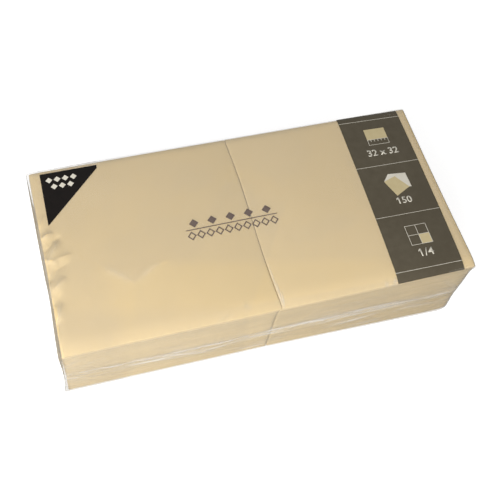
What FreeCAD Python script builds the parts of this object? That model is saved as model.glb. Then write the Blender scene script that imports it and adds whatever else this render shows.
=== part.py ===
# A wrapped pack of two stacks of quarter-folded paper napkins, side by side in one clear shrink film.
# Millimetres, +Z up. +X runs along the pack's length, and -Y is the front, with the long weld.
# The origin is the centre of the pack's footprint, on the face it stands on.
import FreeCAD
import Part
import math
import os

# The napkins
napkin_open = 320.0  # side of the unfolded square
sheet_thickness = 0.21  # two plies of soft tissue, lightly pressed
sheet_gap = 0.02  # between the four layers of one folded napkin
napkin_gap = 0.03  # between one napkin and the next
napkins_per_node = 3
nodes_per_stack = 25
stack_gap = 0.8  # between the two stacks

# The film
film_thickness = 0.1
film_slack_front = 0.1  # loose film at the front and back, beyond the turn over the edges
film_slack_end = 1.4  # loose film at each end
film_lift = 0.05  # between the film and the stacks' top and bottom
film_turn = 0.8  # inner radius where the film turns over the top and bottom edges
film_corner = 2.0  # inner radius at the four upright corners
turn_steps = 2  # flat facets to each turn over an edge
corner_steps = 3
weld_reach = 1.6  # how far the weld's fin stands out, at the front and both ends
weld_height = 35.0

# The print, on top of the film
ink_thickness = 0.06
print_margin = 0.3  # from the turn of the film to the ends of the band
band_width = 56.5
band_from_end = 6.8  # from where the film turns to the band's right edge
band_line_width = 0.7
band_line_start = 3.0  # from the band's left edge to its pale lines
band_line_back = 4.8  # from the band's back end to the first line
band_line_front = 8.6  # from the last line to the band's front end
symbol_drop = 19.4  # from a line to the centre of the symbol in front of it
symbol_width = 18.0
symbol_line_width = 0.5
ruler_share = 0.32  # the ruler's share of the first symbol's depth
ruler_ticks = 5
pile_lean = 6.0  # how far the fanned pile leans to the right
corner_width = 45.0
corner_depth = 48.0
corner_from_end = 11.6  # from where the film turns to the corner field
corner_from_back = 4.6
corner_mark_pitch = 6.4
corner_marks = 4
title_length = 73.5
title_left_of_middle = 12.0
title_line_width = 0.7
title_line_gap = 1.3  # from the thin line to the marks on both sides of it
title_mark_depth = 7.6
title_bold_marks = 5
title_fine_marks = 10
title_fine_stroke = 0.7

# What follows from them
napkin_side = napkin_open / 2
napkin_thickness = 4 * sheet_thickness + 3 * sheet_gap
napkin_pitch = napkin_thickness + napkin_gap
napkins_per_stack = napkins_per_node * nodes_per_stack
stack_height = napkins_per_stack * napkin_pitch - napkin_gap
pack_shift = weld_reach / 2  # moves all but the weld back, so that the origin stays in the middle

room_half_length = napkin_side + stack_gap / 2 + film_turn + film_slack_end
room_half_depth = napkin_side / 2 + film_turn + film_slack_front
film_half_length = room_half_length + film_thickness
film_half_depth = room_half_depth + film_thickness
room_bottom = film_thickness
stack_bottom = room_bottom + film_lift
room_top = stack_bottom + stack_height + film_lift
film_top = room_top + film_thickness

flat_half_length = room_half_length - film_turn
flat_back = pack_shift + room_half_depth - film_turn
flat_front = pack_shift - room_half_depth + film_turn


def block(x, y, z):
    """A box from three pairs of low and high sides."""
    return Part.makeBox(x[1] - x[0], y[1] - y[0], z[1] - z[0], FreeCAD.Vector(x[0], y[0], z[0]))


def folded_napkin():
    """One napkin with its spine on x = 0: folded once at the front, then over the spine, four layers."""
    t, gap = sheet_thickness, sheet_gap
    front, back = -napkin_side / 2, napkin_side / 2
    past = napkin_side + 1
    napkin = block((0, napkin_side), (front, back), (0, napkin_thickness))
    under_top = 3 * t + 2 * gap
    over_bottom = t
    slots = [
        block((t, past), (front + t, past), (under_top, under_top + gap)),
        block((t, past), (front + t, past), (over_bottom, over_bottom + gap)),
        block((t, t + gap), (front + t, past), (over_bottom, under_top + gap)),
        block((2 * t + gap, past), (-past, past), (2 * t + gap, 2 * t + 2 * gap)),
    ]
    return napkin.cut(slots).removeSplitter()


def stack(spine_side):
    """A stack's napkins as groups of separate solids. The spines face the end of the pack, -1 left or 1 right."""
    napkin = folded_napkin()
    if spine_side > 0:
        napkin.rotate(FreeCAD.Vector(0, 0, napkin_thickness / 2), FreeCAD.Vector(0, 1, 0), 180)
    spine = spine_side * (napkin_side + stack_gap / 2)
    groups = []
    for group in range(nodes_per_stack):
        napkins = []
        for place in range(napkins_per_node):
            level = stack_bottom + (group * napkins_per_node + place) * napkin_pitch
            laid = napkin.copy()
            laid.translate(FreeCAD.Vector(spine, pack_shift, level))
            napkins.append(laid)
        groups.append(Part.makeCompound(napkins))
    return groups


def rounded_outline(half_length, half_depth, corner, z):
    """A rectangle's points, with each corner turned in short flat steps."""
    points = []
    for quarter, (side_x, side_y) in enumerate(((1, 1), (-1, 1), (-1, -1), (1, -1))):
        for step in range(corner_steps + 1):
            angle = math.radians(90 * (quarter + step / corner_steps))
            x = side_x * (half_length - corner) + corner * math.cos(angle)
            y = side_y * (half_depth - corner) + corner * math.sin(angle)
            points.append(FreeCAD.Vector(x, pack_shift + y, z))
    return points


def closed_solid(outlines):
    """A solid between stacked outlines that have their points in the same order."""
    faces = [Part.Face(Part.makePolygon(o + o[:1])) for o in (outlines[0], outlines[-1])]
    for low, high in zip(outlines, outlines[1:]):
        for n in range(len(low)):
            corners = [low[n - 1], low[n], high[n], high[n - 1]]
            faces.append(Part.Face(Part.makePolygon(corners + corners[:1])))
    shell = Part.makeShell(faces)
    shell.sewShape()
    return Part.makeSolid(shell)


def rounded_box(half_length, half_depth, bottom, top, corner, turn):
    """A box with turned upright corners, whose top and bottom edges turn over with a smaller radius."""
    outlines = []
    for level, way in ((bottom, 1), (top, -1)):
        ring = []
        for step in range(turn_steps + 1):
            angle = math.radians(90 * step / turn_steps)
            inset = turn * (1 - math.sin(angle))
            z = level + way * turn * (1 - math.cos(angle))
            ring.append(rounded_outline(half_length - inset, half_depth - inset, corner - inset, z))
        outlines += ring[::way]
    return closed_solid(outlines)


def film_wrap():
    """The closed film with its weld, a flat fin of two films along the front and both ends at mid-height."""
    outside = rounded_box(
        film_half_length, film_half_depth, 0, film_top, film_corner + film_thickness, film_turn + film_thickness
    )
    room = rounded_box(room_half_length, room_half_depth, room_bottom, room_top, film_corner, film_turn)
    low, high = (
        rounded_outline(
            film_half_length + weld_reach, film_half_depth + weld_reach, film_corner + film_thickness + weld_reach, z
        )
        for z in (weld_height - film_thickness, weld_height + film_thickness)
    )
    past = film_half_length + film_half_depth + weld_reach
    weld_back = pack_shift + room_half_depth - film_corner
    behind = block((-past, past), (weld_back, weld_back + past), (0, film_top))
    fin = closed_solid([low, high]).cut(behind)
    return outside.fuse(fin).cut(room).removeSplitter()


def ink(points, level=0):
    """A flat printed field with this outline. Level 1 is printed over level 0."""
    bottom = film_top + level * ink_thickness
    outline = [FreeCAD.Vector(x, y, bottom) for x, y in points]
    face = Part.Face(Part.makePolygon(outline + outline[:1]))
    return face.extrude(FreeCAD.Vector(0, 0, ink_thickness))


def ink_bar(x, y, level=0):
    return ink([(x[0], y[0]), (x[1], y[0]), (x[1], y[1]), (x[0], y[1])], level)


def ink_diamond(x, y, half_width, half_depth, level=0):
    return ink([(x - half_width, y), (x, y - half_depth), (x + half_width, y), (x, y + half_depth)], level)


def ink_frame(x, y, stroke, level=0):
    """A printed rectangular outline."""
    inner = ink_bar((x[0] + stroke, x[1] - stroke), (y[0] + stroke, y[1] - stroke), level)
    return ink_bar(x, y, level).cut(inner)


band_right = flat_half_length - band_from_end
band_left = band_right - band_width
band_back = flat_back - print_margin
band_front = flat_front + print_margin
band_lines_from = band_left + band_line_start
first_line = band_back - band_line_back
line_pitch = (first_line - band_front - band_line_front) / 3
symbol_x = (band_lines_from + band_right) / 2


def symbol_middle(place):
    return first_line - place * line_pitch - symbol_drop


def band_lines():
    """Four thin pale lines across the band."""
    half = band_line_width / 2
    levels = [first_line - n * line_pitch for n in range(4)]
    return [ink_bar((band_lines_from, band_right), (y - half, y + half), 1) for y in levels]


def size_symbol():
    """A napkin over a ruler: a filled field and, joined to it in front, an outlined ruler with ticks."""
    half = symbol_width / 2
    middle = symbol_middle(0)
    ruler_depth = ruler_share * symbol_width
    x = (symbol_x - half, symbol_x + half)
    ruler_back = middle - half + ruler_depth
    field = ink_bar(x, (ruler_back, middle + half), 1)
    ruler = [ink_frame(x, (middle - half, ruler_back), symbol_line_width, 1)]
    tick_pitch = symbol_width / (ruler_ticks + 1)
    for n in range(ruler_ticks):
        left = x[0] + (n + 1) * tick_pitch - symbol_line_width / 2
        tick = (ruler_back - symbol_line_width - ruler_depth / 3, ruler_back - symbol_line_width)
        ruler.append(ink_bar((left, left + symbol_line_width), tick, 1))
    return field, ruler


def pile_symbol():
    """A fanned pile: a filled leaning field with a pale edge along its right and back."""
    half, stroke = symbol_width / 2, symbol_line_width
    middle = symbol_middle(1)
    left, right, back, front = symbol_x - half, symbol_x + half, middle + half, middle - half
    field = ink(
        [
            (left, middle + stroke), (left + pile_lean, back - stroke), (right - stroke, back - stroke),
            (right - stroke, middle - half / 2), (left + pile_lean, front),
        ],
        1,
    )
    edge = ink(
        [
            (left + pile_lean, back - stroke), (left + pile_lean, back), (right, back), (right, middle - half / 2),
            (right - stroke, middle - half / 2), (right - stroke, back - stroke),
        ],
        1,
    )
    return field, [edge]


def fold_symbol():
    """Four outlined quarters, with the right front one filled."""
    half, stroke = symbol_width / 2, symbol_line_width
    middle = symbol_middle(2)
    x, y = (symbol_x - half, symbol_x + half), (middle - half, middle + half)
    inside_x, inside_y = (x[0] + stroke, x[1] - stroke), (y[0] + stroke, y[1] - stroke)
    upright = ink_bar((symbol_x - stroke / 2, symbol_x + stroke / 2), inside_y, 1)
    level = ink_bar(inside_x, (middle - stroke / 2, middle + stroke / 2), 1)
    grid = ink_frame(x, y, stroke, 1).fuse([upright, level]).removeSplitter()
    field = ink_bar((symbol_x + stroke / 2, inside_x[1]), (inside_y[0], middle - stroke / 2), 1)
    return field, [grid]


def corner_field():
    """The dark field at the back left: a plain right triangle."""
    left = -flat_half_length + corner_from_end
    back = flat_back - corner_from_back
    field = ink([(left, back), (left, back - corner_depth), (left + corner_width, back)])
    marks = []
    half = corner_mark_pitch * 0.42
    for row in range(2):
        for n in range(corner_marks - row):
            x = left + (n + 1 + row / 2) * corner_mark_pitch
            y = back - (row + 1.1) * corner_mark_pitch
            marks.append(ink_diamond(x, y, half, half, 1))
    return field, marks


def title():
    """A thin line with a row of bold diamonds behind it and a row of outlined ones in front."""
    x = -title_left_of_middle - title_length / 2
    y = pack_shift
    half = title_mark_depth / 2
    pieces = [ink_bar((x, x + title_length), (y - title_line_width / 2, y + title_line_width / 2))]
    row = half + title_line_gap + title_line_width / 2
    bold_pitch = title_length / title_bold_marks
    for n in range(title_bold_marks):
        pieces.append(ink_diamond(x + (n + 0.5) * bold_pitch, y + row, half, half))
    fine_pitch = title_length / title_fine_marks
    half_width = min(half, fine_pitch / 2 - title_fine_stroke / 4)
    for n in range(title_fine_marks):
        centre = x + (n + 0.5) * fine_pitch
        hole = ink_diamond(centre, y - row, half_width - title_fine_stroke, half - title_fine_stroke)
        pieces.append(ink_diamond(centre, y - row, half_width, half).cut(hole))
    return pieces


def save(name, pieces):
    shape = pieces[0] if len(pieces) == 1 else Part.makeCompound(pieces)
    shape.exportStep(f"parts/{name}.step")


os.makedirs("parts", exist_ok=True)
for side, spine_side in (("left", -1), ("right", 1)):
    for number, group in enumerate(stack(spine_side), 1):
        save(f"napkins_{side}_{number:02d}", [group])
save("film_wrap", [film_wrap()])

symbols = [size_symbol(), pile_symbol(), fold_symbol()]
save("printed_band", [ink_bar((band_left, band_right), (band_front, band_back))])
save("printed_band_fields", [field for field, lines in symbols])
save("printed_band_lines", band_lines() + [line for field, lines in symbols for line in lines])
dark_field, pale_marks = corner_field()
save("printed_corner", [dark_field])
save("printed_corner_marks", pale_marks)
save("printed_title", title())
print("stack", round(stack_height, 2), "pack height", round(film_top, 2), "half length", round(film_half_length, 2))
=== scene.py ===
# A wrapped pack of two stacks of folded paper napkins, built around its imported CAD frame.
# Sizes are in millimetres and become Blender's metres by MM. -Y is the front, +X the right end.
import math

import bmesh
import bpy
import numpy
from mathutils import Matrix, Vector


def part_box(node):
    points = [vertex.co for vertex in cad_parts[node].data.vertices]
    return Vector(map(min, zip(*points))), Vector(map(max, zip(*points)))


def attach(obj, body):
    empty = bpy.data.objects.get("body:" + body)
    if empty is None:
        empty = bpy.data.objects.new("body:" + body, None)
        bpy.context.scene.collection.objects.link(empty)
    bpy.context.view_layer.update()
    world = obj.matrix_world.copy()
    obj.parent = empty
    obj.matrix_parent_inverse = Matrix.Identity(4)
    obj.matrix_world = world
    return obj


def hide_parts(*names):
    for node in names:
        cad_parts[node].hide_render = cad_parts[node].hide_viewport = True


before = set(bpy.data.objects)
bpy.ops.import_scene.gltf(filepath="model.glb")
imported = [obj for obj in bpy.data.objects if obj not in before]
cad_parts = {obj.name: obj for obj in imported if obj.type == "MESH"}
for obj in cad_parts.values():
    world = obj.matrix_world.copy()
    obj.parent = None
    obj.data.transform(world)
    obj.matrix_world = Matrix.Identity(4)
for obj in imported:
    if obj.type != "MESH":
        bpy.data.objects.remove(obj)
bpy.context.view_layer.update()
MM = 0.001

# --- The napkins ---
# Two stacks of 75 two-ply tissue napkins, dyed beige, each folded in half at the front and again over its
# spine at the end of the pack. The soft folds are pressed flat by the ones above and by the tight film,
# which rolls the edges of the top ones down and lifts those of the lowest ones.

stack_box = {side: [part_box(f"napkins_{side}_{n:02d}") for n in (1, 25)] for side in ("left", "right")}
STACK_LEFT = stack_box["left"][0][0][0] / MM
STACK_RIGHT = stack_box["right"][0][1][0] / MM
GAP_HALF = stack_box["right"][0][0][0] / MM
STACK_FRONT = stack_box["left"][0][0][1] / MM
STACK_BACK = stack_box["left"][0][1][1] / MM
STACK_LOW = stack_box["left"][0][0][2] / MM
STACK_TOP = stack_box["left"][1][1][2] / MM

PACK_HEIGHT = 70.0
NAPKIN_SIDE = 160.0
NAPKIN_PITCH = 0.93
LAYER_PITCH = NAPKIN_PITCH / 4
TISSUE_THICKNESS = 0.2
NAPKINS_PER_NODE = 3
NODES_PER_STACK = 25
FINE_NODES = 1  # the top group of each stack carries the shape of the top
FOLD_STEPS = 3
SPINE_STEPS = 4
COARSE_CUTS = (2.5, 7.0, 16.0, 40.0, 80.0)
FINE_CUTS = (0.8, 1.8, 3.0, 4.4, 6.0, 7.8, 9.8, 12.0, 14.5, 17.5, 21.0, 26.0, 34.0, 46.0, 62.0, 80.0)
FINE_CUTS_ALONG = (0.8, 1.8, 3.2, 5.0, 7.2, *numpy.arange(9.6, 81.0, 2.6))


def deselect_all():
    bpy.ops.object.select_all(action="DESELECT")


def open_piece(piece):
    """Selects one piece alone and opens it in edit mode, ready to pick edges."""
    if bpy.context.object and bpy.context.object.mode == "EDIT":
        bpy.ops.object.mode_set(mode="OBJECT")
    deselect_all()
    piece.select_set(True)
    bpy.context.view_layer.objects.active = piece
    bpy.ops.object.mode_set(mode="EDIT")
    bpy.context.tool_settings.mesh_select_mode = (False, True, False)


def pick(piece, edges=None, faces=None):
    """Selects the edges or faces of the open piece that pass a test of their corners, in mm."""
    mesh = bmesh.from_edit_mesh(piece.data)
    for part in (*mesh.verts, *mesh.edges, *mesh.faces):
        part.select = False
    for parts, test in ((mesh.edges, edges), (mesh.faces, faces)):
        if test:
            for part in parts:
                if all(test(v.co / MM) for v in part.verts):
                    part.select_set(True)
    bmesh.update_edit_mesh(piece.data)


def close_mesh():
    """Merges what meets and turns every face outwards."""
    bpy.ops.mesh.select_all(action="SELECT")
    bpy.ops.mesh.remove_doubles(threshold=0.001 * MM)
    bpy.ops.mesh.normals_make_consistent(inside=False)


def apply_modifier(piece, kind, **settings):
    if bpy.context.object and bpy.context.object.mode == "EDIT":
        bpy.ops.object.mode_set(mode="OBJECT")
    deselect_all()
    piece.select_set(True)
    bpy.context.view_layer.objects.active = piece
    modifier = piece.modifiers.new(kind.title(), kind)
    for name, value in settings.items():
        setattr(modifier, name, value)
    bpy.ops.object.modifier_apply(modifier=modifier.name)


def points_of(mesh):
    """The mesh's points as one array, in mm."""
    flat = numpy.empty(len(mesh.vertices) * 3)
    mesh.vertices.foreach_get("co", flat)
    return flat.reshape(-1, 3) / MM


def move_points(mesh, points):
    mesh.vertices.foreach_set("co", (points * MM).ravel())
    mesh.update()


def mark_points(mesh, name, values):
    """Stores one number for each point, which a material reads by its name."""
    mark = mesh.attributes.new(name, "FLOAT", "POINT")
    mark.data.foreach_set("value", numpy.asarray(values, dtype=float))


def fold_three_napkins(name, cuts, cuts_along):
    """Three napkins of the left stack, one on another, from z = 0. Each is folded from a flat quarter."""
    proud = 1.5 * LAYER_PITCH + TISSUE_THICKNESS / 2  # how far the outer layer turns out past the spine
    fold_proud = (LAYER_PITCH + TISSUE_THICKNESS) / 2
    low_x, low_y = STACK_LEFT + proud, STACK_FRONT + fold_proud
    high_x, high_y = STACK_LEFT + NAPKIN_SIDE, STACK_BACK
    middle = NAPKIN_PITCH / 2
    top = middle + 1.5 * LAYER_PITCH
    bpy.ops.mesh.primitive_plane_add(size=1, location=(0, 0, 0))
    napkin = bpy.context.object
    napkin.name = napkin.data.name = name
    open_piece(napkin)
    bpy.ops.mesh.select_all(action="SELECT")
    bpy.ops.transform.resize(value=((high_x - low_x) * MM, (high_y - low_y) * MM, 1))
    bpy.ops.transform.translate(value=((low_x + high_x) / 2 * MM, (low_y + high_y) / 2 * MM, top * MM))
    for axis, low, places in ((0, low_x, cuts), (1, low_y, cuts_along)):
        for inset in sorted({*places, *(NAPKIN_SIDE - cut for cut in places)}):
            place, way = [0, 0, 0], [0, 0, 0]
            place[axis], way[axis] = (low + inset) * MM, 1
            bpy.ops.mesh.select_all(action="SELECT")
            bpy.ops.mesh.bisect(plane_co=place, plane_no=way)
    # The first fold, at the front: a second layer under the first, joined by a turned edge.
    bpy.ops.mesh.select_all(action="SELECT")
    bpy.ops.mesh.duplicate()
    bpy.ops.transform.translate(value=(0, 0, -LAYER_PITCH * MM))
    pick(napkin, edges=lambda co: abs(co.y - low_y) < 0.01 and abs(co.z - top) < 0.01)
    bpy.ops.mesh.spin(
        steps=FOLD_STEPS, angle=math.pi, center=(0, low_y * MM, (top - LAYER_PITCH / 2) * MM), axis=(1, 0, 0)
    )
    close_mesh()
    # The second fold, over the spine: the same pair of layers below, joined by a turned edge at the end.
    bpy.ops.mesh.select_all(action="SELECT")
    bpy.ops.mesh.duplicate()
    bpy.ops.transform.resize(value=(1, 1, -1), center_override=(0, 0, middle * MM))
    pick(napkin, edges=lambda co: abs(co.x - low_x) < 0.01 and co.z > middle)
    bpy.ops.mesh.spin(steps=SPINE_STEPS, angle=math.pi, center=(low_x * MM, 0, middle * MM), axis=(0, -1, 0))
    close_mesh()
    bpy.ops.object.mode_set(mode="OBJECT")
    apply_modifier(napkin, "SOLIDIFY", thickness=TISSUE_THICKNESS * MM, offset=0)
    open_piece(napkin)
    bpy.ops.mesh.select_all(action="SELECT")
    for repeat in range(NAPKINS_PER_NODE - 1):
        bpy.ops.mesh.duplicate()
        bpy.ops.transform.translate(value=(0, 0, NAPKIN_PITCH * MM))
    bpy.ops.object.mode_set(mode="OBJECT")
    return napkin


def turned_over(source, name):
    """The right stack's napkins: a mirrored copy, with its faces turned outwards again."""
    copy = source.copy()
    copy.data = source.data.copy()
    copy.name = copy.data.name = name
    bpy.context.collection.objects.link(copy)
    open_piece(copy)
    bpy.ops.mesh.select_all(action="SELECT")
    bpy.ops.transform.resize(value=(-1, 1, 1), center_override=(0, 0, 0))
    bpy.ops.mesh.flip_normals()
    bpy.ops.object.mode_set(mode="OBJECT")
    return copy


def soft_edge(distance, reach):
    """1 at an edge, falling to 0 at this reach in from it, round at first and flat at the end."""
    return numpy.clip(1 - numpy.maximum(distance, 0) / reach, 0, 1) ** 2.3


def fold_line(u, v, middle, angle, half_length, half_width):
    """1 along one short straight crease, falling away to both sides and more slowly to its ends."""
    turn = math.radians(angle)
    du, dv = u - middle[0], v - middle[1]
    along = du * math.cos(turn) + dv * math.sin(turn)
    across = dv * math.cos(turn) - du * math.sin(turn)
    lengthwise = numpy.clip(1 - (along / half_length) ** 2, 0, 1) ** 1.5
    return lengthwise * numpy.exp(-(numpy.abs(across) / half_width) ** 1.2)


# Lumps and dents of the top napkins that the film has drawn up by the left end, and three long soft folds:
# middle, angle, half length, half width and height.
LUMPS = (
    ((-156, 20), 25, 8, 2.6, 2.4), ((-151, 7), 60, 10, 2.6, 2.2), ((-156, -1), -24, 8, 2.4, 2.0),
    ((-146, 0), 12, 9, 2.4, 1.2), ((-152, -22), 42, 9, 2.6, 1.9), ((-160, -25), 78, 10, 2.2, 1.8),
    ((-156, -46), 68, 11, 2.8, 1.9), ((-159, -62), 84, 11, 2.4, 1.2), ((-157, 33), 70, 9, 2.8, 1.2),
    ((-150, 16), 30, 7, 2.2, -1.4), ((-156, 10), 40, 7, 2.0, -1.4), ((-149, -8), 20, 9, 2.6, -1.1),
    ((-155, -14), 60, 8, 2.2, -1.2), ((-155, -34), 60, 8, 2.2, -1.1), ((-158, -53), 40, 6, 1.8, -0.9),
    ((-108, -24), -41, 16, 3.0, 0.6), ((-85, -26), 34, 16, 3.0, 0.6), ((-102, 60), 35, 30, 8.0, 0.5),
)
# How far the pack has settled out of square: it leans, and its top corners stand higher or lower.
LEAN_RIGHT, LEAN_FRONT = 1.44, 0.77
TOP_LIFT, LEFT_FRONT_DROP, RIGHT_FRONT_RISE = 0.9, 3.0, 6.6
# Its sides bulge by two corners, and the upright right front corner is drawn in to the left and the back.
RIGHT_FRONT_BULGE, LEFT_BACK_BULGE = 2.0, 1.6
CORNER_LEFTWARDS, CORNER_BACKWARDS = 2.2, 1.2
ROLL_DEPTH, LUMP_DEPTH = 14, 3  # how soon the rolled edges and the lumps fade out in the pile below
LIFT_HEIGHT = 9  # and how soon the lifted edges of the lowest napkins do above


def settle(points, gap_share=1.0):
    """Moves points as the pack has settled: its top edges are rolled down, it leans, and its sides wave."""
    x, y, z = points.T
    left, right = x - STACK_LEFT, STACK_RIGHT - x
    front, back = y - STACK_FRONT, STACK_BACK - y
    gap = numpy.abs(x) - GAP_HALF
    right_front = numpy.hypot(numpy.maximum(right, 0), numpy.maximum(front, 0))
    toward_left, toward_right = numpy.clip(-x / NAPKIN_SIDE, 0, 1), numpy.clip(x / NAPKIN_SIDE, 0, 1)
    toward_front = numpy.clip(0.5 - (y - 0.8) / NAPKIN_SIDE, 0, 1)
    height, depth = numpy.clip(z / STACK_TOP, 0, 1.1), STACK_TOP - z
    settled = points.copy()

    # The top edges are rolled down, each by its own drop over its own reach, and three corners a little more.
    edges = (
        (front, 2.1, 15), (left, 1.5 + toward_front, 10), (right, 0.9, 4), (back, 1.1, 6),
        (gap, 0.25 * gap_share, 2),
    )
    roll = numpy.sqrt(sum((drop * soft_edge(inset, reach)) ** 2 for inset, drop, reach in edges))
    for across, along, drop, reach in ((left, front, 1.2, 24), (left, back, 0.2, 12), (right, front, 0.6, 10)):
        roll += drop * soft_edge(numpy.hypot(numpy.maximum(across, 0), numpy.maximum(along, 0)), reach)
    lift = 0.3 * numpy.maximum(soft_edge(front, 5), soft_edge(left, 5)) + 1.5 * soft_edge(right_front, 12)
    settled[:, 2] += lift * numpy.exp(-(z - STACK_LOW) / LIFT_HEIGHT) - roll * numpy.exp(-depth / ROLL_DEPTH)

    # The whole top tilts and is never quite flat, and it carries the lumps.
    rise = TOP_LIFT - LEFT_FRONT_DROP * toward_left * toward_front
    rise += RIGHT_FRONT_RISE * toward_right ** 1.8 * toward_front ** 1.3
    rise += 0.25 * numpy.sin(x / 31 + 1.0) * numpy.sin(y / 24 + 0.5)
    lumps = sum(bump * fold_line(x, y, *where) for *where, bump in LUMPS)
    settled[:, 2] += rise * height + lumps * numpy.clip(1 - depth / LUMP_DEPTH, 0, 1.1)

    # The sides wave from napkin to napkin, but for the lowest ones.
    above_floor = numpy.clip(z / 12, 0, 1)
    wave = 0.22 * (1 + numpy.sin(z / 7.0 + x / 47 + 1.3)) * above_floor
    settled[:, 1] += wave * (soft_edge(front, 30) - 0.8 * soft_edge(back, 30))
    sway = 0.2 * (1 + numpy.sin(z / 8.5 + y / 38 + 0.4)) * above_floor
    settled[:, 0] += sway * (soft_edge(left, 30) - soft_edge(right, 30))

    # The pack leans and bulges, and its right front corner is drawn in below the top.
    drawn_in = soft_edge(right_front, 14) * (1 - numpy.exp(-depth / 6))
    bulge = LEFT_BACK_BULGE * soft_edge(left, 40) * (1 - toward_front)
    bulge *= numpy.sin(math.pi * numpy.clip(height, 0, 1))
    settled[:, 0] += LEAN_RIGHT * height - CORNER_LEFTWARDS * drawn_in - bulge
    bulge = RIGHT_FRONT_BULGE * toward_right * soft_edge(front, 60)
    settled[:, 1] -= LEAN_FRONT * height + bulge - CORNER_BACKWARDS * drawn_in

    # By the gap the napkins have crept to the right, most at the front and on top, and the two stacks close up.
    creep = 0.4 + 4.4 * toward_front + 0.8 * numpy.sin(2 * math.pi * toward_front)
    creep *= 0.6 * numpy.exp(-(depth / 3) ** 2) + 0.4 * numpy.clip(1 - depth / PACK_HEIGHT, 0, 1.1)
    settled[:, 0] += creep * soft_edge(gap, 60)
    if gap_share == 1:
        meet = 0.26 * numpy.clip(1.2 - depth / PACK_HEIGHT, 0, 1) * soft_edge(gap, 25)
        settled[:, 0] -= numpy.sign(x) * meet
    return settled


def linear(hex_colour):
    """An sRGB hex colour as Blender's linear numbers."""
    parts = [int(hex_colour[n:n + 2], 16) / 255 for n in (1, 3, 5)]
    return [*(p / 12.92 if p <= 0.04045 else ((p + 0.055) / 1.055) ** 2.4 for p in parts), 1.0]


def new_material(name):
    material = bpy.data.materials.new(name)
    material.use_nodes = True
    material.node_tree.nodes.clear()
    return material


def add_node(material, kind, inputs=None, **settings):
    """Adds a node with its settings. Each input is a value, or the output socket that it is linked to."""
    node = material.node_tree.nodes.new("ShaderNode" + kind)
    for name, value in settings.items():
        setattr(node, name, value)
    for name, value in (inputs or {}).items():
        if isinstance(value, bpy.types.NodeSocket):
            material.node_tree.links.new(value, node.inputs[name])
        else:
            node.inputs[name].default_value = value
    return node


def grain_size(size_mm):
    """The scale of a noise whose grain is this many millimetres wide, in Object coordinates."""
    return 1 / (size_mm * MM)


def crepe_tissue():
    """Two-ply creped tissue, dyed in the pulp: quite matt, with short soft fibres and fine crepe lines across.

    Fibres and crepe lines are drawn about twice as coarse as real ones, so that they show.
    """
    tissue = new_material("creped_beige_tissue")
    place = add_node(tissue, "TexCoord").outputs["Object"]
    fibres = add_node(tissue, "TexNoise", {"Vector": place, "Scale": grain_size(1.6), "Detail": 4.0})
    cloud = add_node(tissue, "TexNoise", {"Vector": place, "Scale": grain_size(45), "Detail": 2.0})
    tone = add_node(tissue, "Attribute", attribute_name="napkin_tone")
    light = add_node(tissue, "MapRange", {
        "Value": fibres.outputs["Fac"], "From Min": 0.3, "From Max": 0.7, "To Min": -0.5, "To Max": 0.5})
    slow = add_node(tissue, "Math", {0: cloud.outputs["Fac"], 1: 0.5, 2: 0.25}, operation="MULTIPLY_ADD")
    share = add_node(tissue, "Math", {
        0: light.outputs[0], 1: 0.35, 2: slow.outputs[0]}, operation="MULTIPLY_ADD")
    mixed = add_node(tissue, "Math", {0: share.outputs[0], 1: tone.outputs["Fac"]}, operation="ADD")
    beige = add_node(tissue, "Mix", {
        "Factor": mixed.outputs[0], "A": linear("#D3BB8B"), "B": linear("#DEC697")}, data_type="RGBA")
    crepe_place = add_node(tissue, "Mapping", {"Vector": place, "Scale": (1, 0.12, 1)})
    crepe = add_node(tissue, "TexNoise", {
        "Vector": crepe_place.outputs[0], "Scale": grain_size(0.5), "Detail": 3.0})
    bump = add_node(tissue, "Bump", {"Height": crepe.outputs["Fac"], "Strength": 0.35, "Distance": 0.12 * MM})
    paper = add_node(tissue, "BsdfPrincipled", {
        "Base Color": beige.outputs["Result"], "Roughness": 0.92, "Specular IOR Level": 0.25,
        "Sheen Weight": 0.12, "Sheen Roughness": 0.6, "Normal": bump.outputs[0]})
    add_node(tissue, "OutputMaterial", {"Surface": paper.outputs[0]})
    return tissue


tissue_paper = crepe_tissue()
chance = numpy.random.default_rng(7)
masters = {}
for weight, cuts, along in (("coarse", COARSE_CUTS, COARSE_CUTS), ("fine", FINE_CUTS, FINE_CUTS_ALONG)):
    masters["left", weight] = fold_three_napkins(f"folded_{weight}", cuts, along)
    masters["right", weight] = turned_over(masters["left", weight], f"folded_over_{weight}")

# The top napkin of the left stack is cut finer by the end, where the film has lumped it.
LUMPED = 30.0
crumpled = masters["left", "fine"]
open_piece(crumpled)
bpy.context.tool_settings.mesh_select_mode = (False, False, True)
top_layer = NAPKINS_PER_NODE * NAPKIN_PITCH - LAYER_PITCH
pick(crumpled, faces=lambda co: co.x < STACK_LEFT + LUMPED and co.z > top_layer)
bpy.ops.mesh.subdivide(number_cuts=2)
bpy.ops.object.mode_set(mode="OBJECT")

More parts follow.
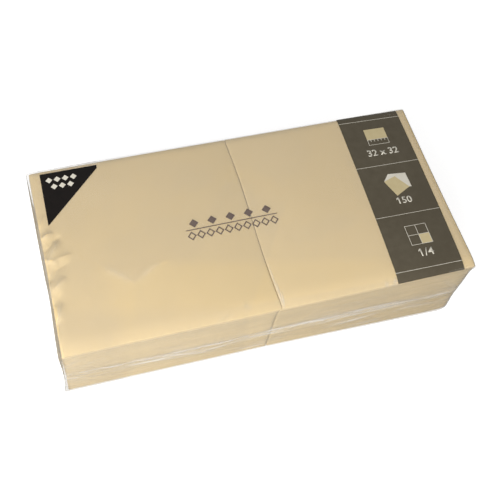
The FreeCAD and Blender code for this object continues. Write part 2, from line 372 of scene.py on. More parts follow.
for side, spine in (("left", -1), ("right", 1)):
    for number in range(1, NODES_PER_STACK + 1):
        master = masters[side, "fine" if number > NODES_PER_STACK - FINE_NODES else "coarse"]
        mesh = master.data.copy()
        points = points_of(mesh)
        group_shift = chance.uniform(0, 0.3)
        tones = numpy.empty(len(points))
        which = numpy.clip((points[:, 2] / NAPKIN_PITCH).astype(int), 0, NAPKINS_PER_NODE - 1)
        for place in range(NAPKINS_PER_NODE):
            rows = which == place
            laid = points[rows]
            # The open edges of the four layers never lie quite flush, nor do the napkins.
            layer = numpy.clip(((laid[:, 2] - place * NAPKIN_PITCH) / LAYER_PITCH).astype(int), 0, 3)
            short_back, short_end = chance.uniform(0, 0.7, 4), chance.uniform(0, 0.25, 4)
            laid[:, 1] -= short_back[layer] * soft_edge(STACK_BACK - laid[:, 1], 30)
            laid[:, 0] += spine * short_end[layer] * soft_edge(numpy.abs(laid[:, 0]) - GAP_HALF, 30)
            laid[:, 1] += (group_shift + chance.uniform(0, 0.22)) * soft_edge(laid[:, 1] - STACK_FRONT, 40)
            drawn = numpy.full(len(laid), chance.uniform(0, 0.3))
            if side == "left":  # the film has drawn the higher ones in, but not at the back
                drawn += 0.8 * min(number / 15, 1) * numpy.clip(1 - (laid[:, 1] - 10) / 50, 0, 1)
            laid[:, 0] -= spine * drawn * soft_edge(NAPKIN_SIDE + GAP_HALF - numpy.abs(laid[:, 0]), 40)
            points[rows] = laid
            tones[rows] = chance.uniform(-0.4, 0.4)
        points[:, 2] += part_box(f"napkins_{side}_{number:02d}")[0][2] / MM
        move_points(mesh, settle(points))
        mark_points(mesh, "napkin_tone", tones)
        mesh.materials.clear()
        mesh.materials.append(tissue_paper)
        tissues = bpy.data.objects.new(f"tissues_{side}_{number:02d}", mesh)
        mesh.name = tissues.name
        bpy.context.collection.objects.link(tissues)
        mesh.shade_smooth()
        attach(tissues, "root")
        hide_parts(f"napkins_{side}_{number:02d}")
for master in masters.values():
    bpy.data.objects.remove(master)

# --- The film ---
# One piece of clear polyolefin shrink film, folded round both stacks, closed by a hot wire along the front
# and both ends at mid-height, and shrunk tight in warm air. It is smooth on top, gathered and crinkled
# round the weld, a little loose at the left end, and bridges the gap between the stacks.

film_low, film_high = [Vector(corner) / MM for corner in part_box("film_wrap")]
WELD_REACH = 1.6
WELD_Z = 35.0
WELD_HALF = 0.16
WELD_BEAD = 0.12  # the fin shrinks to a low crinkled bead, twice as high in places
WELD_FREE = 14.0  # the bead is drawn flat this near to the corners
FIN_HAZE = 0.6
END_REACH = 12.0  # how far in from each end the film is drawn in with it
RIGHT_END_IN = 2.2
FILM_THICKNESS = 0.1
FILM_TURN = 0.9
FILM_CORNER = 1.6
FILM_LEFT, FILM_RIGHT = film_low.x + WELD_REACH, film_high.x - WELD_REACH
FILM_FRONT, FILM_BACK = film_low.y + WELD_REACH, film_high.y
FILM_TOP = film_high.z


def graded_lines(low, high, fine, step, extra=()):
    """Lines from low to high: close together at both ends, then evenly spaced, with extra lines put in."""
    inner = numpy.linspace(low + fine[-1], high - fine[-1], int(round((high - low - 2 * fine[-1]) / step)) + 1)
    lines = [low, *(low + f for f in fine[:-1]), *inner, *(high - f for f in reversed(fine[:-1])), high]
    lines = [v for v in lines if all(abs(v - e) > 0.45 * step for e in extra)]
    return numpy.array(sorted([*lines, *extra]))


# The film's mesh lines: closer by its edges, under the lumps at the left, along the gap and by the weld.
edge_lines = (0.3, 0.7, 1.2, 2.1, 3.4, 5.0)
film_x = graded_lines(FILM_LEFT, FILM_RIGHT, edge_lines, 2.5, (
    *numpy.arange(FILM_LEFT + 6.6, FILM_LEFT + 22, 1.7), -2.4, -1.2, -0.3, *numpy.arange(0.3, 5.0, 0.5)))
film_y = graded_lines(FILM_FRONT, FILM_BACK, edge_lines, 2.5)
film_z = graded_lines(0, FILM_TOP, (0.3, 0.7, 1.2, 2.1), 1.6, (
    WELD_Z - 2.2, WELD_Z - 1.3, WELD_Z - 0.6, WELD_Z - WELD_HALF, WELD_Z + WELD_HALF, WELD_Z + 0.6,
    WELD_Z + 1.3, WELD_Z + 2.2))

bpy.ops.mesh.primitive_grid_add(
    x_subdivisions=len(film_x) - 1, y_subdivisions=len(film_y) - 1, size=1, location=(0, 0, 0))
film = bpy.context.object
film.name = film.data.name = "shrink_film"
open_piece(film)
bpy.context.tool_settings.mesh_select_mode = (False, False, True)
bpy.ops.mesh.select_all(action="SELECT")
for level in range(1, len(film_z)):
    bpy.ops.mesh.extrude_region_move(TRANSFORM_OT_translate={"value": (0, 0, 1)})
bpy.ops.mesh.select_all(action="SELECT")
bpy.ops.mesh.normals_make_consistent(inside=False)
bpy.ops.object.mode_set(mode="OBJECT")

lattice = points_of(film.data) * MM
column = numpy.rint((lattice[:, 0] + 0.5) * (len(film_x) - 1)).astype(int)
row = numpy.rint((lattice[:, 1] + 0.5) * (len(film_y) - 1)).astype(int)
level = numpy.rint(lattice[:, 2]).astype(int)
points = numpy.stack([film_x[column], film_y[row], film_z[level]], axis=1)


def round_box(points):
    """Turns the box's upright corners and its top and bottom edges. Also gives the way each point faces."""
    middle_y = (FILM_FRONT + FILM_BACK) / 2
    half = numpy.array([FILM_RIGHT, (FILM_BACK - FILM_FRONT) / 2]) - FILM_CORNER
    flat = points[:, :2] - [0, middle_y]
    inner = numpy.clip(flat, -half, half)
    out = flat - inner
    longest, length = numpy.abs(out).max(1), numpy.hypot(*out.T)
    out *= (longest / numpy.maximum(length, 1e-9))[:, None]
    way = out / numpy.maximum(numpy.hypot(*out.T), 1e-9)[:, None]
    reach = numpy.hypot(*out.T)
    aside = numpy.maximum(0, reach - (FILM_CORNER - FILM_TURN))
    over = numpy.maximum(0, points[:, 2] - (FILM_TOP - FILM_TURN))
    under = numpy.maximum(0, FILM_TURN - points[:, 2])
    above = over - under
    shrink = numpy.maximum(aside, numpy.abs(above)) / numpy.maximum(numpy.hypot(aside, above), 1e-9)
    shrink = numpy.where((aside > 0) & (above != 0), shrink, 1)
    new_reach = numpy.where(aside > 0, FILM_CORNER - FILM_TURN + aside * shrink, reach)
    z = numpy.clip(points[:, 2], FILM_TURN, FILM_TOP - FILM_TURN) + above * shrink
    xy = inner + way * new_reach[:, None] + [0, middle_y]
    facing = numpy.stack([way[:, 0] * aside, way[:, 1] * aside, above], axis=1)
    facing /= numpy.maximum(numpy.linalg.norm(facing, axis=1), 1e-9)[:, None]
    return numpy.column_stack([xy, z]), facing


rounded, facing = round_box(points)
film_points = settle(rounded, gap_share=0.35)
x, y, z = rounded.T
at_front, at_back = numpy.clip(-facing[:, 1], 0, 1), numpy.clip(facing[:, 1], 0, 1)
at_left, at_right = numpy.clip(-facing[:, 0], 0, 1), numpy.clip(facing[:, 0], 0, 1)
at_top = numpy.clip(facing[:, 2], 0, 1)
push = numpy.zeros(len(points))
haze = numpy.zeros(len(points))


def add_crease(share, u, v, middle, angle, half_length, half_width, height, cloud=0.5):
    """Pinches a fold into the film: a ridge, or a groove where its height is negative, paler than the rest."""
    global push, haze
    shape = share * fold_line(u, v, middle, angle, half_length, half_width)
    push = push + height * shape
    haze = haze + cloud * shape


# The sides: long flat streaks below and above the weld, short gathers across it, and slanted tucks by corners.
sides = (
    (at_front, x, FILM_LEFT, FILM_RIGHT, 1.0), (at_left, y, FILM_FRONT, FILM_BACK, 0.9),
    (at_right, y, FILM_FRONT, FILM_BACK, 0.8), (at_back, x, FILM_LEFT, FILM_RIGHT, 0.4),
)
for share, u, low, high, strength in sides:
    span = (high - low) / 100  # the counts of creases are for 100 mm of side
    for n in range(int(28 * span)):
        middle = chance.uniform(low, high), WELD_Z - abs(chance.normal(0, 13)) + 3
        add_crease(share, u, z, middle, chance.normal(0, 9), chance.uniform(9, 34), chance.uniform(0.6, 1.5),
                   strength * chance.uniform(-0.2, 0.4), cloud=strength * 1.5 * chance.uniform(0.0, 0.9) ** 2)
    for n in range(int(9 * span)):
        middle = chance.uniform(low, high), WELD_Z + abs(chance.normal(0, 9)) + 3
        add_crease(share, u, z, middle, chance.normal(0, 14), chance.uniform(10, 30), chance.uniform(1.0, 2.2),
                   strength * chance.uniform(-0.2, 0.25), cloud=strength * chance.uniform(0, 0.15))
    for n in range(int(26 * span)):
        middle = chance.uniform(low, high), WELD_Z + chance.uniform(-4, 3)
        add_crease(share, u, z, middle, 90 + chance.normal(0, 32), chance.uniform(3, 8),
                   chance.uniform(0.8, 1.4), strength * chance.uniform(0.1, 0.45),
                   cloud=strength * chance.uniform(0.1, 0.4))
    for corner, lean in ((low, 1), (high, -1)):
        for n in range(12):
            middle = corner + lean * chance.uniform(2, 24), chance.uniform(8, 60)
            toward = math.degrees(math.atan2(WELD_Z - middle[1], -lean * 26))
            add_crease(share, u, z, middle, toward + chance.normal(0, 14), chance.uniform(7, 16),
                       chance.uniform(0.8, 1.6), strength * chance.uniform(-0.3, 0.45),
                       cloud=strength * chance.uniform(0.05, 0.35))

# The top: pale crests on the lumps by the left edge, and short stretch marks by the gap.
top_creases = (
    ((-108, -24), -41, 15, 1.3, 0.15, 0.3), ((-85, -26), 34, 15, 1.3, 0.15, 0.2),
    ((-156, 20), 25, 7, 1.2, 0.2, 0.15), ((-151, 7), 60, 9, 1.2, 0.2, 0.15),
    ((-156, -1), -24, 7, 1.2, 0.2, 0.15), ((-152, -22), 42, 8, 1.2, 0.2, 0.15),
    ((-160, -25), 78, 9, 1.2, 0.2, 0.2), ((-156, -46), 68, 10, 1.2, 0.2, 0.2),
    ((1.1, -58), 89, 22, 0.35, 0.12, 0.8), ((2.1, -67), 86, 13, 0.35, 0.12, 1.0),
    ((3.3, -72), 82, 8, 0.4, 0.12, 0.9),
    ((-22, -71), -73, 6, 1.0, 0.35, 0.2), ((-39, -76), 20, 9, 1.1, 0.25, 0.15),
    ((94, -78), 60, 5, 0.9, 0.3, 0.6), ((88, -77), 70, 5, 0.8, 0.25, 0.4),
)
for middle, angle, half_length, half_width, height, cloud in top_creases:
    add_crease(at_top, x, y, middle, angle, half_length, half_width, height, cloud=cloud)
# Fine slanted wrinkles behind the dark corner, where the film turns down at the back left.
for n in range(16):
    middle = chance.uniform(-160, -104), chance.uniform(79, 81)
    add_crease(numpy.clip(at_top + at_back, 0, 1) * (y > 77), x, y, middle, 30 + chance.normal(0, 12),
               chance.uniform(3, 7), chance.uniform(0.6, 1.0), chance.uniform(0.1, 0.3), cloud=0.25)

# How far the film stands off the left end, or is drawn in where this is negative: it is drawn in at mid-height
# and most towards the front, and stands clear of the stack by the floor and at the back.
upper = numpy.clip(z / 50, 0, 1)
stand_off = -1.3 - 0.8 * numpy.clip(y / 78, 0, 1) - (0.6 + 0.8 * numpy.exp(-((y + 32) / 22) ** 2)) * upper
stand_off += 1.4 * numpy.clip(y / 78, 0, 1) * upper + 0.85 * numpy.clip(z / 20 - 2.5, 0, 1)
stand_off += 2.6 * numpy.exp(-z / 9) * soft_edge(y - FILM_FRONT, 16)
push += 0.15 * at_top - at_front * 0.5 * numpy.clip(z / 30, 0, 1)
push += 0.6 * at_back * numpy.clip(-x / 160, 0, 1) ** 2
haze *= numpy.where(at_top > 0.5, 1, 0.6)

film_points = film_points + facing * push[:, None]
film_points[:, 0] -= stand_off * numpy.clip(1 - (x - FILM_LEFT) / END_REACH, 0, 1) ** 2
film_points[:, 0] -= RIGHT_END_IN * numpy.clip(1 - (FILM_RIGHT - x) / END_REACH, 0, 1) ** 2
weld_wave = 0.9 * numpy.sin(x / 31 + 0.6) + 0.5 * numpy.sin(x / 12.5 + y / 17) - 1.5
welded = (at_front + at_left + at_right).clip(0, 1)
film_points[:, 2] += weld_wave * numpy.exp(-((z - WELD_Z) / 9) ** 2) * welded
move_points(film.data, film_points)
mark_points(film.data, "crease_haze", numpy.clip(haze, 0, 1.5))

# The weld: the row of faces at mid-height, drawn out in two steps to a thin crinkled fin.
open_piece(film)
weld_levels = [int(numpy.abs(film_z - (WELD_Z + way * WELD_HALF)).argmin()) for way in (-1, 1)]
mesh = bmesh.from_edit_mesh(film.data)
mesh.faces.ensure_lookup_table()
for part in (*mesh.verts, *mesh.edges, *mesh.faces):
    part.select = False
for face in mesh.faces:
    corners = [v.index for v in face.verts]
    if all(level[c] in weld_levels for c in corners) and len({level[c] for c in corners}) == 2:
        middle_x, middle_y = (sum(rounded[c, axis] for c in corners) / 4 for axis in (0, 1))
        from_end, from_side = FILM_RIGHT - abs(middle_x), min(middle_y - FILM_FRONT, FILM_BACK - middle_y)
        if max(from_end, from_side) > WELD_FREE and not all(row[c] == len(film_y) - 1 for c in corners):
            face.select_set(True)
bmesh.update_edit_mesh(film.data)
bpy.context.tool_settings.mesh_select_mode = (False, False, True)
for step in range(2):
    bpy.ops.mesh.extrude_region_shrink_fatten(
        TRANSFORM_OT_shrink_fatten={"value": WELD_BEAD * MM, "use_even_offset": False})
    for face in bmesh.from_edit_mesh(film.data).faces:
        spot = face.calc_center_median() / MM
        if face.select and math.sin(spot.x / 6.5 + 2 * math.sin(spot.x / 11)) + math.sin(spot.y / 5) < 0:
            face.select_set(False)
bpy.ops.object.mode_set(mode="OBJECT")

points = points_of(film.data)
fin = numpy.arange(len(points)) >= len(film_points)
x, y, z = points.T
crinkle = 0.22 * numpy.sin(x / 0.9 + 2 * numpy.sin(x / 5)) + 0.22 * numpy.sin(y / 0.9 + 2 * numpy.sin(y / 6))
points[:, 2] += numpy.where(fin, crinkle - 0.2, 0)
move_points(film.data, points)
marks = film.data.attributes["crease_haze"].data
haze = numpy.empty(len(points))
marks.foreach_get("value", haze)
haze = numpy.where(fin, FIN_HAZE, haze)
marks.foreach_set("value", haze)
apply_modifier(film, "SOLIDIFY", thickness=FILM_THICKNESS * MM, offset=-1)
film.data.shade_smooth()


FILM_IOR = 1.29


def shrink_film():
    """Clear polyolefin: clear and glossy, and paler where it is creased or lies doubled in the weld."""
    clear = new_material("clear_shrink_film")
    place = add_node(clear, "TexCoord").outputs["Object"]
    stretched = add_node(clear, "Mapping", {"Vector": place, "Scale": (0.35, 0.35, 1.0)})
    crinkle = add_node(clear, "TexNoise", {
        "Vector": stretched.outputs[0], "Scale": grain_size(5), "Detail": 3.0, "Distortion": 0.6})
    bump = add_node(clear, "Bump", {"Height": crinkle.outputs["Fac"], "Strength": 0.5, "Distance": 0.4 * MM})
    veil = add_node(clear, "Attribute", attribute_name="crease_haze").outputs["Fac"]
    # The film's inner face mirrors no more than its outer one: the wall is too thin to trap light.
    inside = add_node(clear, "NewGeometry").outputs["Backfacing"]
    bend = add_node(clear, "MapRange", {"Value": inside, "To Min": FILM_IOR, "To Max": 1 / FILM_IOR})
    edge = add_node(clear, "Fresnel", {"IOR": bend.outputs[0], "Normal": bump.outputs[0]})
    dull = add_node(clear, "Math", {0: veil, 1: 0.25, 2: 0.28}, operation="MULTIPLY_ADD", use_clamp=True)
    gloss = add_node(clear, "BsdfGlossy", {
        "Color": linear("#DCD9D2"), "Roughness": dull.outputs[0], "Normal": bump.outputs[0]})

    def in_front_of(start, end, soft, within=1.0):
        """1 on the film in front of a line between two points of the top, and within another field, else 0."""
        along = Vector((end[0] - start[0], end[1] - start[1], 0)).normalized()
        normal = Vector((along.y, -along.x, 0))
        reach = add_node(clear, "VectorMath", {0: place, 1: normal / MM}, operation="DOT_PRODUCT")
        edge = normal.dot(Vector((*start, 0)))
        field = add_node(clear, "MapRange", {
            "Value": reach.outputs["Value"], "From Min": edge - soft, "From Max": edge + soft})
        return add_node(clear, "Math", {0: field.outputs[0], 1: within}, operation="MINIMUM").outputs[0]

    # Painted reflection: the film's mirror share is raised a little in fields drawn on the top, painting the
    # pack paler along the front edge, in a wedge right of the gap and in soft patches, and lowered in a wide
    # field at the front, painting it darker there.
    painted_dark_field = in_front_of((-96, -34), (-77, -21), 0.7, within=in_front_of((-77, -21), (-5, -37), 5.0))
    painted_dark_field = add_node(clear, "Math", {
        0: painted_dark_field, 1: in_front_of((-116, -16), (-96, -34), 0.7)}, operation="MAXIMUM").outputs[0]
    painted_dark_field = in_front_of((-122, 80), (-116, -80), -9.0, within=painted_dark_field)
    # Painted highlight: a paler strip along the front edge, where the rolled edge faces the lamp.
    painted_light_strip = add_node(clear, "Math", {
        0: in_front_of((-130, -50), (-47, -69), 6.0), 1: in_front_of((-47, -70), (98, -77), 1.2)},
        operation="MAXIMUM").outputs[0]
    painted_dark_field = add_node(clear, "Math", {0: painted_dark_field, 1: painted_light_strip}, operation="SUBTRACT").outputs[0]
    # A painted paler wedge right of the gap.
    painted_light_wedge = in_front_of((51, 35), (35, 9), 1.2, within=in_front_of((2, 52), (51, 35), 1.0))
    painted_light_wedge = in_front_of((40, 2), (6, 30), -9.0, within=painted_light_wedge)
    # Painted reflection that varies at random in soft patches.
    patch_noise = add_node(clear, "TexNoise", {
        "Vector": place, "Scale": grain_size(60), "Detail": 1.5, "Distortion": 0.8})
    painted_patches = add_node(clear, "MapRange", {
        "Value": patch_noise.outputs["Fac"], "From Min": 0.42, "From Max": 0.56, "To Min": 0.035, "To Max": 0.05})
    painted_reflection = add_node(clear, "Math", {0: painted_dark_field, 1: -0.038, 2: painted_patches.outputs[0]}, operation="MULTIPLY_ADD")
    painted_reflection = add_node(clear, "Math", {
        0: painted_light_wedge, 1: 0.02, 2: painted_reflection.outputs[0]}, operation="MULTIPLY_ADD", use_clamp=True)

    both = add_node(clear, "Math", {0: edge.outputs[0], 1: painted_reflection.outputs[0]}, operation="ADD")
    mirror = add_node(clear, "Math", {
        0: veil, 1: 0.03, 2: both.outputs[0]}, operation="MULTIPLY_ADD", use_clamp=True)
    through = add_node(clear, "BsdfTransparent", {"Color": linear("#FFFFFF")})
    skin = add_node(clear, "MixShader", {0: mirror.outputs[0], 1: through.outputs[0], 2: gloss.outputs[0]})
    milk = add_node(clear, "BsdfDiffuse", {"Color": linear("#F2F0EA")})
    share = add_node(clear, "Math", {0: veil, 1: 0.3, 2: 0.01}, operation="MULTIPLY_ADD")
    surface = add_node(clear, "MixShader", {0: share.outputs[0], 1: skin.outputs[0], 2: milk.outputs[0]})
    add_node(clear, "OutputMaterial", {"Surface": surface.outputs[0]})
    return clear


film.data.materials.clear()
film.data.materials.append(shrink_film())
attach(film, "root")
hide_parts("film_wrap")

# --- The printed band ---
# A taupe band across the right end, flexo printed on the film before it is wrapped, so it follows every
# bend of the film. Thin pale lines part its three fields, each with a sign of one fact about the napkins.

PRINT_HALF = 80.0  # half the print's reach from front to back
BAND_SKEW, BAND_BOW, LINE_SKEW = 0.015, 0.9, -0.035  # the film was drawn a little askew as it shrank
SYMBOL_X = 128.25
SYMBOL_HALF = 9.0
SYMBOL_Y = (56.4, 6.2, -44.0)
FRAME_STROKE = 0.35
LINE_Y = (73.3, 26.0, -23.6, -73.6)
LINE_HALF = 0.17
INK_LIFT, INK_LEVEL, INK_THICKNESS = 0.02, 0.07, 0.05


def flat_bar(x, y):
    """A flat rectangle in the open mesh, selected."""
    bpy.ops.mesh.primitive_plane_add(size=1, location=(0, 0, 0))
    bpy.ops.transform.resize(value=((x[1] - x[0]) * MM, (y[1] - y[0]) * MM, 1), center_override=(0, 0, 0))
    bpy.ops.transform.translate(value=((x[0] + x[1]) / 2 * MM, (y[0] + y[1]) / 2 * MM, 0))


def flat_frame(x, y, stroke):
    """A flat rectangular outline."""
    flat_bar(x, y)
    bpy.ops.mesh.inset(thickness=stroke * MM)
    bpy.ops.mesh.delete(type="FACE")


def flat_diamond(x, y, half_width, half_depth, stroke=0.0):
    """A flat diamond, filled, or an outline with this stroke."""
    bpy.ops.mesh.primitive_circle_add(vertices=4, radius=1, fill_type="NGON", location=(0, 0, 0))
    bpy.ops.transform.resize(value=(half_width * MM, half_depth * MM, 1), center_override=(0, 0, 0))
    bpy.ops.transform.translate(value=(x * MM, y * MM, 0))
    if stroke:
        bpy.ops.mesh.inset(thickness=stroke * MM)
        bpy.ops.mesh.delete(type="FACE")


def start_print(name):
    """An empty mesh for one printed piece, open in face mode."""
    piece = bpy.data.objects.new(name, bpy.data.meshes.new(name))
    bpy.context.collection.objects.link(piece)
    open_piece(piece)
    bpy.context.tool_settings.mesh_select_mode = (False, False, True)
    return piece


def flat_outline(*corners):
    """A flat face between these corners, in order."""
    bpy.ops.mesh.primitive_circle_add(vertices=len(corners), radius=1, fill_type="NGON", location=(0, 0, 0))
    mesh = bmesh.from_edit_mesh(bpy.context.object.data)
    picked = next(face for face in mesh.faces if face.select)
    for point, (x, y) in zip(picked.verts, corners):
        point.co = (x * MM, y * MM, 0)
    bmesh.update_edit_mesh(bpy.context.object.data)


def lay_on_film(piece, material, level=0, cut_pitch=3.0, nodes=(), skew_x=0.0, bow=0.0, skew_y=0.0):
    """Cuts a flat print finely, drops it on the film, gives it its thickness and hides the parts it stands for.
    """
    open_piece(piece)
    bpy.ops.mesh.select_all(action="SELECT")
    bpy.ops.mesh.remove_doubles(threshold=0.001 * MM)
    mesh = bmesh.from_edit_mesh(piece.data)
    for axis in range(2):
        low, high = (f(v.co[axis] for v in mesh.verts) for f in (min, max))
        cuts = int((high - low) / (cut_pitch * MM))
        for n in range(1, cuts + 1):
            spot, way = [0, 0, 0], [0, 0, 0]
            spot[axis], way[axis] = low + n * (high - low) / (cuts + 1), 1
            bpy.ops.mesh.select_all(action="SELECT")
            bpy.ops.mesh.bisect(plane_co=spot, plane_no=way)
    bpy.ops.mesh.select_all(action="SELECT")
    bpy.ops.mesh.normals_make_consistent(inside=False)
    bpy.ops.transform.translate(value=(0, 0, (FILM_TOP + 8) * MM))
    mesh = bmesh.from_edit_mesh(piece.data)
    if sum(face.normal.z for face in mesh.faces) < 0:
        bpy.ops.mesh.flip_normals()
    bpy.ops.object.mode_set(mode="OBJECT")
    points = points_of(piece.data)
    points[:, 0] += skew_x * points[:, 1] + bow * (1 - (points[:, 1] / PRINT_HALF) ** 2)
    points[:, 1] += skew_y * (points[:, 0] - SYMBOL_X)
    move_points(piece.data, points)
    apply_modifier(piece, "SHRINKWRAP", target=film, wrap_method="PROJECT", use_project_z=True,
                   use_negative_direction=True, use_positive_direction=False)
    points = points_of(piece.data)
    points[:, 2] += INK_LIFT + level * INK_LEVEL
    move_points(piece.data, points)
    apply_modifier(piece, "SOLIDIFY", thickness=INK_THICKNESS * MM, offset=1)
    piece.data.materials.clear()
    piece.data.materials.append(material)
    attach(piece, "root")
    if nodes:
        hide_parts(*nodes)


def printed_ink(name, colour, mottle, gloss=0.3):
    """Flexo ink under the film's own gloss: even, with a faint mottle and a few finer pinholes of tone."""
    ink = new_material(name)
    place = add_node(ink, "TexCoord").outputs["Object"]
    cloud = add_node(ink, "TexNoise", {"Vector": place, "Scale": grain_size(6), "Detail": 5.0})
    wide = add_node(ink, "TexNoise", {"Vector": place, "Scale": grain_size(60), "Detail": 1.0})
    share = add_node(ink, "Math", {0: cloud.outputs["Fac"], 1: wide.outputs["Fac"]}, operation="MULTIPLY")
    tone = add_node(ink, "MapRange", {"Value": share.outputs[0], "From Min": 0.15, "From Max": 0.4})
    shade = add_node(ink, "Mix", {
        "Factor": tone.outputs[0], "A": linear(colour), "B": linear(mottle)}, data_type="RGBA")
    ripple = add_node(ink, "TexNoise", {"Vector": place, "Scale": grain_size(7), "Detail": 2.0})
    bump = add_node(ink, "Bump", {"Height": ripple.outputs["Fac"], "Strength": 0.3, "Distance": 0.2 * MM})
    surface = add_node(ink, "BsdfPrincipled", {
        "Base Color": shade.outputs["Result"], "Roughness": gloss, "Specular IOR Level": 0.12,
        "Normal": bump.outputs[0]})
    add_node(ink, "OutputMaterial", {"Surface": surface.outputs[0]})
    return ink


band_low, band_high = [Vector(corner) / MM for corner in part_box("printed_band")]
taupe_ink = printed_ink("taupe_flexo_ink", "#524B3D", "#595244")
pale_ink = printed_ink("pale_flexo_ink", "#CFC9BA", "#D9D4C6")
tan_ink = printed_ink("tan_flexo_ink", "#C1B188", "#C9BA92")

# The film has carried the band's edges a little to the left and the front of their solid as it shrank.
band = start_print("ink_band")
band_left, band_right = band_low.x + 0.8, band_high.x - 1.9
flat_bar((band_left, band_right), (band_low.y - 2.4, band_high.y - 0.9))
lay_on_film(
    band, taupe_ink, cut_pitch=2.4, nodes=["printed_band"],
    skew_x=BAND_SKEW, bow=BAND_BOW, skew_y=LINE_SKEW / 2)

# The three signs: the size of a napkin on a ruler, a fanned pile for the count, and the fold in four.
left, right = SYMBOL_X - SYMBOL_HALF, SYMBOL_X + SYMBOL_HALF
ruler_back = SYMBOL_Y[0] - SYMBOL_HALF + 5.76
pile_y, fold_y = SYMBOL_Y[1], SYMBOL_Y[2]
fold_left, fold_right = left - 0.1, right - 0.7
fold_middle = (fold_left + fold_right) / 2
pile_left, pile_top = (left - 0.5, pile_y + 3.5), (SYMBOL_X + 0.8, pile_y + 7.2)
pile_right, pile_front = (right + 0.2, pile_y - 5.0), (left + 5.4, pile_y - 11.9)

fields = start_print("ink_band_fields")
flat_bar((left, right), (ruler_back, SYMBOL_Y[0] + SYMBOL_HALF - 1.6))
flat_outline(pile_left, pile_front, pile_right, pile_top)
flat_bar((fold_middle + FRAME_STROKE / 2, fold_right - FRAME_STROKE),
         (fold_y - SYMBOL_HALF + FRAME_STROKE, fold_y - FRAME_STROKE / 2))
lay_on_film(fields, tan_ink, level=1, nodes=["printed_band_fields"], skew_y=LINE_SKEW)

lines = start_print("ink_band_lines")
for y in LINE_Y:
    drawn = BAND_SKEW * y + BAND_BOW * (1 - (y / PRINT_HALF) ** 2)
    flat_bar((band_left + drawn, band_right + drawn), (y - LINE_HALF, y + LINE_HALF))
flat_frame((left, right), (SYMBOL_Y[0] - SYMBOL_HALF, ruler_back), FRAME_STROKE)
for n in range(5):
    x = left + (n + 1) * 3.0
    flat_bar((x - 0.25, x + 0.25), (ruler_back - FRAME_STROKE - 1.9, ruler_back - FRAME_STROKE))
flat_outline(pile_left, pile_top, pile_right, (right + 2.0, pile_y - 5.2), (right + 1.6, pile_y + 9.0),
             (left + 5.0, pile_y + 10.2))
flat_frame((fold_left, fold_right), (fold_y - SYMBOL_HALF, fold_y + SYMBOL_HALF), FRAME_STROKE)
flat_bar((fold_middle - FRAME_STROKE / 2, fold_middle + FRAME_STROKE / 2),
         (fold_y - SYMBOL_HALF + FRAME_STROKE, fold_y + SYMBOL_HALF - FRAME_STROKE))
flat_bar((fold_left + FRAME_STROKE, fold_right - FRAME_STROKE),
         (fold_y - FRAME_STROKE / 2, fold_y + FRAME_STROKE / 2))
lay_on_film(lines, pale_ink, level=1, nodes=["printed_band_lines"], skew_y=LINE_SKEW)

# The figures under the signs: their middle, their length and how much bolder they are made.
FIGURES = (
    ("32 x 32", 128.4, 39.6, 26.6, 0.00017),
    ("150", 129.4, -10.4, 11.2, 0.00017),
    ("1/4", 128.8, -60.3, 10.4, 0.00004),
)
numbers = []
for body, x, y, length, bold in FIGURES:
    bpy.ops.object.text_add(location=(0, 0, 0))
    text = bpy.context.object
    text.data.body = body
    text.data.size = 0.01
    text.data.offset = bold
    text.data.resolution_u = 4
    deselect_all()
    text.select_set(True)
    bpy.context.view_layer.objects.active = text
    bpy.ops.object.convert(target="MESH")
    points = points_of(text.data)
    points *= length / numpy.ptp(points[:, 0])
    points[:, 0] += x - (points[:, 0].max() + points[:, 0].min()) / 2
    points[:, 1] += y - (points[:, 1].max() + points[:, 1].min()) / 2
    if body.startswith("1"):  # a short flag, which the built-in letters leave off
        flag_x, flag_y = points[:, 0].min(), points[:, 1].max()
    move_points(text.data, points)
    if body.startswith("1"):
        open_piece(text)
        bpy.context.tool_settings.mesh_select_mode = (False, False, True)
        flat_outline(
            (flag_x, flag_y), (flag_x - 1.3, flag_y - 1.3),
            (flag_x - 1.3, flag_y - 2.5), (flag_x, flag_y - 1.4))
        bpy.ops.object.mode_set(mode="OBJECT")
    numbers.append(text)
deselect_all()
for text in numbers:
    text.select_set(True)
bpy.context.view_layer.objects.active = numbers[0]
bpy.ops.object.join()
numbers[0].name = numbers[0].data.name = "ink_numbers"
lay_on_film(numbers[0], pale_ink, level=1, cut_pitch=60, skew_y=LINE_SKEW)

# --- The printed corner and title ---
# A dark field at the back left corner with small pale marks, and in the middle a plain ornament of
# diamonds on both sides of a thin line, printed with the band in one pass.

corner_low, corner_high = [Vector(corner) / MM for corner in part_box("printed_corner")]
dark_corner = start_print("ink_corner")
flat_bar((corner_low.x, corner_high.x), (corner_low.y, corner_high.y))
bpy.ops.mesh.bisect(
    plane_co=(corner_low.x * MM, corner_low.y * MM, 0),
    plane_no=(corner_high.y - corner_low.y, -(corner_high.x - corner_low.x), 0), clear_outer=True)
lay_on_film(dark_corner, printed_ink("black_flexo_ink", "#0C0806", "#120D0A", 0.25),
            nodes=["printed_corner"])

corner_marks = start_print("ink_corner_marks")
MARK_PITCH = 6.4
for line in range(2):
    for n in range(4 - line):
        flat_diamond(corner_low.x + (n + 1 + line / 2) * MARK_PITCH, corner_high.y - (line + 1.1) * MARK_PITCH,
                     MARK_PITCH * 0.42, MARK_PITCH * 0.42)
lay_on_film(corner_marks, pale_ink, level=1, nodes=["printed_corner_marks"])

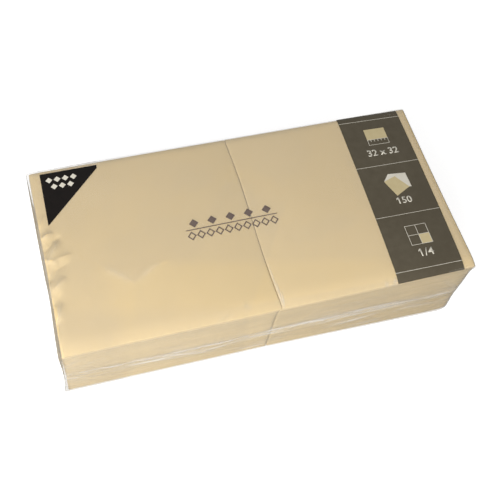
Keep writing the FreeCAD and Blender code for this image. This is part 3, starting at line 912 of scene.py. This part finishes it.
title = start_print("ink_title")
title_low, title_high = [Vector(corner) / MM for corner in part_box("printed_title")]
TITLE_Y = 0.8
title_length = title_high.x - title_low.x
flat_bar((title_low.x, title_high.x), (TITLE_Y - 0.35, TITLE_Y + 0.35))
for n in range(5):
    flat_diamond(title_low.x + (n + 0.5) * title_length / 5, TITLE_Y + 5.45, 3.8, 3.8)
for n in range(10):
    flat_diamond(title_low.x + (n + 0.5) * title_length / 10, TITLE_Y - 5.45, 3.5, 3.9, 0.85)
lay_on_film(title, printed_ink("brown_flexo_ink", "#655852", "#6F625B"), nodes=["printed_title"])

# --- The floor, the light and the camera ---
# A plain table under a wide soft lamp at the front left, in a pale room. Where they are seen, straight or
# through the film, both are made up to white, with no more light on the pack.

bpy.ops.mesh.primitive_plane_add(size=8, location=(0, 0, 0))
floor = bpy.context.object
floor.name = "floor"
white = new_material("white_table")
rays = add_node(white, "LightPath")
seen = add_node(white, "Math", {
    0: rays.outputs["Is Camera Ray"], 1: rays.outputs["Is Transmission Ray"]}, operation="MAXIMUM")
glow = add_node(white, "Math", {0: seen.outputs[0], 1: 0.76}, operation="MULTIPLY")
table = add_node(white, "BsdfDiffuse", {"Color": linear("#C0C0C0")})
glow = add_node(white, "Emission", {"Color": linear("#FFFFFF"), "Strength": glow.outputs[0]})
both = add_node(white, "AddShader", {0: table.outputs[0], 1: glow.outputs[0]})
add_node(white, "OutputMaterial", {"Surface": both.outputs[0]})
floor.data.materials.append(white)

world = bpy.data.worlds.new("white_room")
bpy.context.scene.world = world
world.use_nodes = True
world.node_tree.nodes.clear()
rays = add_node(world, "LightPath")
seen = add_node(world, "Math", {
    0: rays.outputs["Is Camera Ray"], 1: rays.outputs["Is Glossy Ray"]}, operation="MAXIMUM")
seen = add_node(world, "Math", {
    0: seen.outputs[0], 1: rays.outputs["Is Transmission Ray"]}, operation="MAXIMUM")
strength = add_node(world, "MapRange", {"Value": seen.outputs[0], "To Min": 0.41, "To Max": 1.0})
room = add_node(world, "Background", {"Color": linear("#FFFFFF"), "Strength": strength.outputs[0]})
add_node(world, "OutputWorld", {"Surface": room.outputs[0]})

bpy.ops.object.light_add(type="AREA", location=(-0.31, -0.39, 0.35))
lamp = bpy.context.object
lamp.data.size = 0.6
lamp.data.energy = 5.6
lamp.visible_camera = lamp.visible_glossy = False
lamp.rotation_euler = (Vector((-0.06, -0.03, 0.05)) - lamp.location).to_track_quat("-Z", "Y").to_euler()

HEADING, LOOK_DOWN, ROLL = 22.615, 60.408, 8.587
camera = bpy.data.objects.new("camera", bpy.data.cameras.new("camera"))
bpy.context.collection.objects.link(camera)
turn = (Matrix.Rotation(math.radians(-HEADING), 4, "Z") @ Matrix.Rotation(math.radians(90 - LOOK_DOWN), 4, "X")
        @ Matrix.Rotation(math.radians(ROLL), 4, "Z"))
camera.matrix_world = Matrix.Translation((-0.12485, -0.31493, 0.62090)) @ turn
camera.data.lens = 59.246
camera.data.sensor_width = 36
camera.data.clip_start = 0.01
bpy.context.scene.camera = camera
bpy.context.scene.view_settings.view_transform = "Standard"
